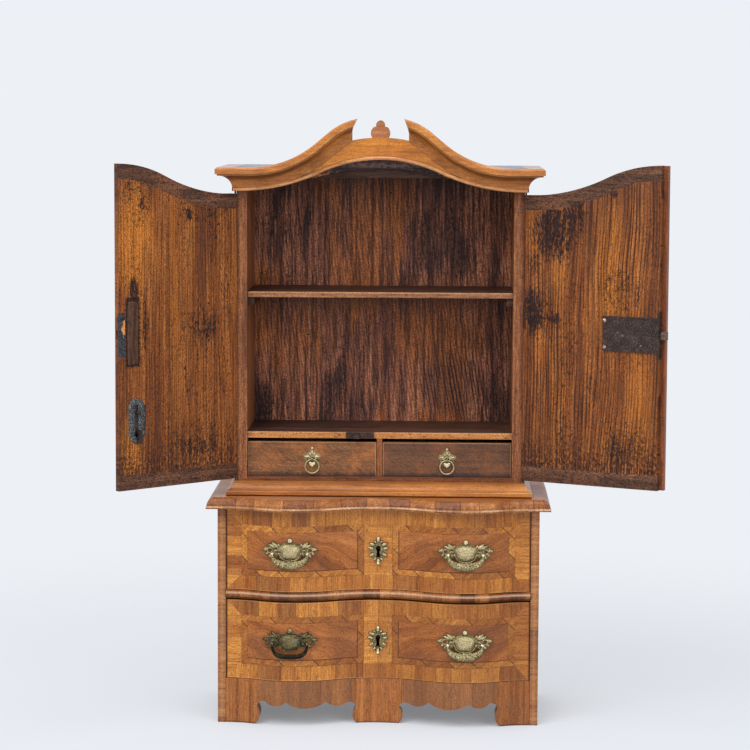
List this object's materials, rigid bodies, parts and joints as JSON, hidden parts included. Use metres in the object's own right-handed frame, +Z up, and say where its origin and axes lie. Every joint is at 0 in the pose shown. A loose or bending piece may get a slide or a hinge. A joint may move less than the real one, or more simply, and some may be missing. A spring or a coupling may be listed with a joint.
{
  "type": "cabinet on chest",
  "caption": "Small cabinet with two arched doors, shelves and small drawers on a serpentine chest of two drawers, under a broken swan-neck pediment.",
  "frame": {"origin": "on the floor, under the middle of the front foot", "axes": "+X to the right seen from the front, the front faces -Y, +Z up"},
  "size_m": [0.6376, 0.2584, 0.7208],
  "materials": {
    "veneer": "satin waxed",
    "carcass_wood": "old, unpolished",
    "moulding_wood": "satin waxed",
    "door_wood": "satin",
    "aged_brass": "tarnished",
    "iron": "dark, slightly rusted"
  },
  "bodies": {
    "case": {"chest_sides": "moulding_wood", "corner_posts": "moulding_wood", "chest_back": "carcass_wood", "chest_bottom": "carcass_wood", "apron": "veneer", "drawer_rail": "moulding_wood", "drawer_runners": "carcass_wood", "chest_top": "moulding_wood", "plinth_moulding": "moulding_wood", "case_sides": "moulding_wood", "case_base": "carcass_wood", "case_back": "carcass_wood", "lower_shelf": "carcass_wood", "drawer_divider": "carcass_wood", "middle_shelf": "carcass_wood", "shelf_cleats": "carcass_wood", "case_roof": "carcass_wood", "header_rail": "carcass_wood", "tympanum": "moulding_wood", "arch_bead": "moulding_wood", "swan_neck_left": "moulding_wood", "swan_neck_right": "moulding_wood", "cornice_return_left": "moulding_wood", "cornice_return_right": "moulding_wood", "finial": "moulding_wood", "bolt_keeper": "iron"},
    "upper_drawer": {"upper_drawer_front": "veneer", "upper_drawer_box": "carcass_wood", "upper_drawer_lock": "iron", "upper_drawer_escutcheon": "aged_brass", "upper_drawer_handle_plates": "aged_brass"},
    "upper_lock_bolt": {"upper_drawer_lock_bolt": "iron"},
    "upper_bail_left": {"upper_drawer_bail_left": "aged_brass"},
    "upper_bail_right": {"upper_drawer_bail_right": "aged_brass"},
    "lower_drawer": {"lower_drawer_front": "veneer", "lower_drawer_box": "carcass_wood", "lower_drawer_lock": "iron", "lower_drawer_escutcheon": "aged_brass", "lower_drawer_handle_plates": "aged_brass"},
    "lower_lock_bolt": {"lower_drawer_lock_bolt": "iron"},
    "lower_bail_left": {"lower_drawer_bail_left": "aged_brass"},
    "lower_bail_right": {"lower_drawer_bail_right": "aged_brass"},
    "small_drawer_left": {"small_drawer_left_front": "veneer", "small_drawer_left_box": "carcass_wood", "small_drawer_left_ring_plate": "aged_brass"},
    "ring_left": {"small_drawer_left_ring": "aged_brass"},
    "small_drawer_right": {"small_drawer_right_front": "veneer", "small_drawer_right_box": "carcass_wood", "small_drawer_right_ring_plate": "aged_brass"},
    "ring_right": {"small_drawer_right_ring": "aged_brass"},
    "left_door": {"left_door_panel": "door_wood", "left_door_battens": "door_wood", "left_door_irons": "iron"},
    "flush_bolt": {"left_door_bolt": "iron"},
    "right_door": {"right_door_panel": "door_wood", "right_door_battens": "door_wood", "right_door_astragal": "door_wood", "right_door_lock": "iron", "right_door_pivots": "iron"},
    "door_lock_bolt": {"right_door_lock_bolt": "iron"}
  },
  "joints": [
    {"name": "upper_drawer_slide", "type": "slide", "parent": "case", "child": "upper_drawer", "axis": [0, -1, 0], "range_m": [0, 0.105]},
    {"name": "upper_lock_bolt_slide", "type": "slide", "parent": "upper_drawer", "child": "upper_lock_bolt", "axis": [0, 0, 1], "range_m": [0, 0.005]},
    {"name": "upper_bail_left_hinge", "type": "hinge", "parent": "upper_drawer", "child": "upper_bail_left", "pos_m": [-0.104, -0.0367, 0.20909], "axis": [-1, 0, 0], "range_deg": [0, 95]},
    {"name": "upper_bail_right_hinge", "type": "hinge", "parent": "upper_drawer", "child": "upper_bail_right", "pos_m": [0.104, -0.0367, 0.20909], "axis": [-1, 0, 0], "range_deg": [0, 95]},
    {"name": "lower_drawer_slide", "type": "slide", "parent": "case", "child": "lower_drawer", "axis": [0, -1, 0], "range_m": [0, 0.105]},
    {"name": "lower_lock_bolt_slide", "type": "slide", "parent": "lower_drawer", "child": "lower_lock_bolt", "axis": [0, 0, 1], "range_m": [0, 0.005]},
    {"name": "lower_bail_left_hinge", "type": "hinge", "parent": "lower_drawer", "child": "lower_bail_left", "pos_m": [-0.104, -0.0367, 0.10086], "axis": [-1, 0, 0], "range_deg": [0, 95]},
    {"name": "lower_bail_right_hinge", "type": "hinge", "parent": "lower_drawer", "child": "lower_bail_right", "pos_m": [0.104, -0.0367, 0.10086], "axis": [-1, 0, 0], "range_deg": [0, 95]},
    {"name": "small_drawer_left_slide", "type": "slide", "parent": "case", "child": "small_drawer_left", "axis": [0, -1, 0], "range_m": [0, 0.075]},
    {"name": "ring_left_hinge", "type": "hinge", "parent": "small_drawer_left", "child": "ring_left", "pos_m": [-0.0809, 0.0233, 0.31364], "axis": [-1, 0, 0], "range_deg": [0, 95]},
    {"name": "small_drawer_right_slide", "type": "slide", "parent": "case", "child": "small_drawer_right", "axis": [0, -1, 0], "range_m": [0, 0.075]},
    {"name": "ring_right_hinge", "type": "hinge", "parent": "small_drawer_right", "child": "ring_right", "pos_m": [0.0809, 0.0233, 0.31364], "axis": [-1, 0, 0], "range_deg": [0, 95]},
    {"name": "left_door_hinge", "type": "hinge", "parent": "case", "child": "left_door", "pos_m": [-0.1722, 0.0158, 0.2917], "axis": [0, 0, -1], "range_deg": [-137.2, 18.8]},
    {"name": "flush_bolt_slide", "type": "slide", "parent": "left_door", "child": "flush_bolt", "axis": [0, 0, -1], "range_m": [0, 0.009]},
    {"name": "right_door_hinge", "type": "hinge", "parent": "case", "child": "right_door", "pos_m": [0.1722, 0.0158, 0.2917], "axis": [0, 0, 1], "range_deg": [-153.6, 2.4]},
    {"name": "door_lock_bolt_slide", "type": "slide", "parent": "right_door", "child": "door_lock_bolt", "axis": [0.8957, -0.4446, 0], "range_m": [-0.009, 0]}
  ]
}
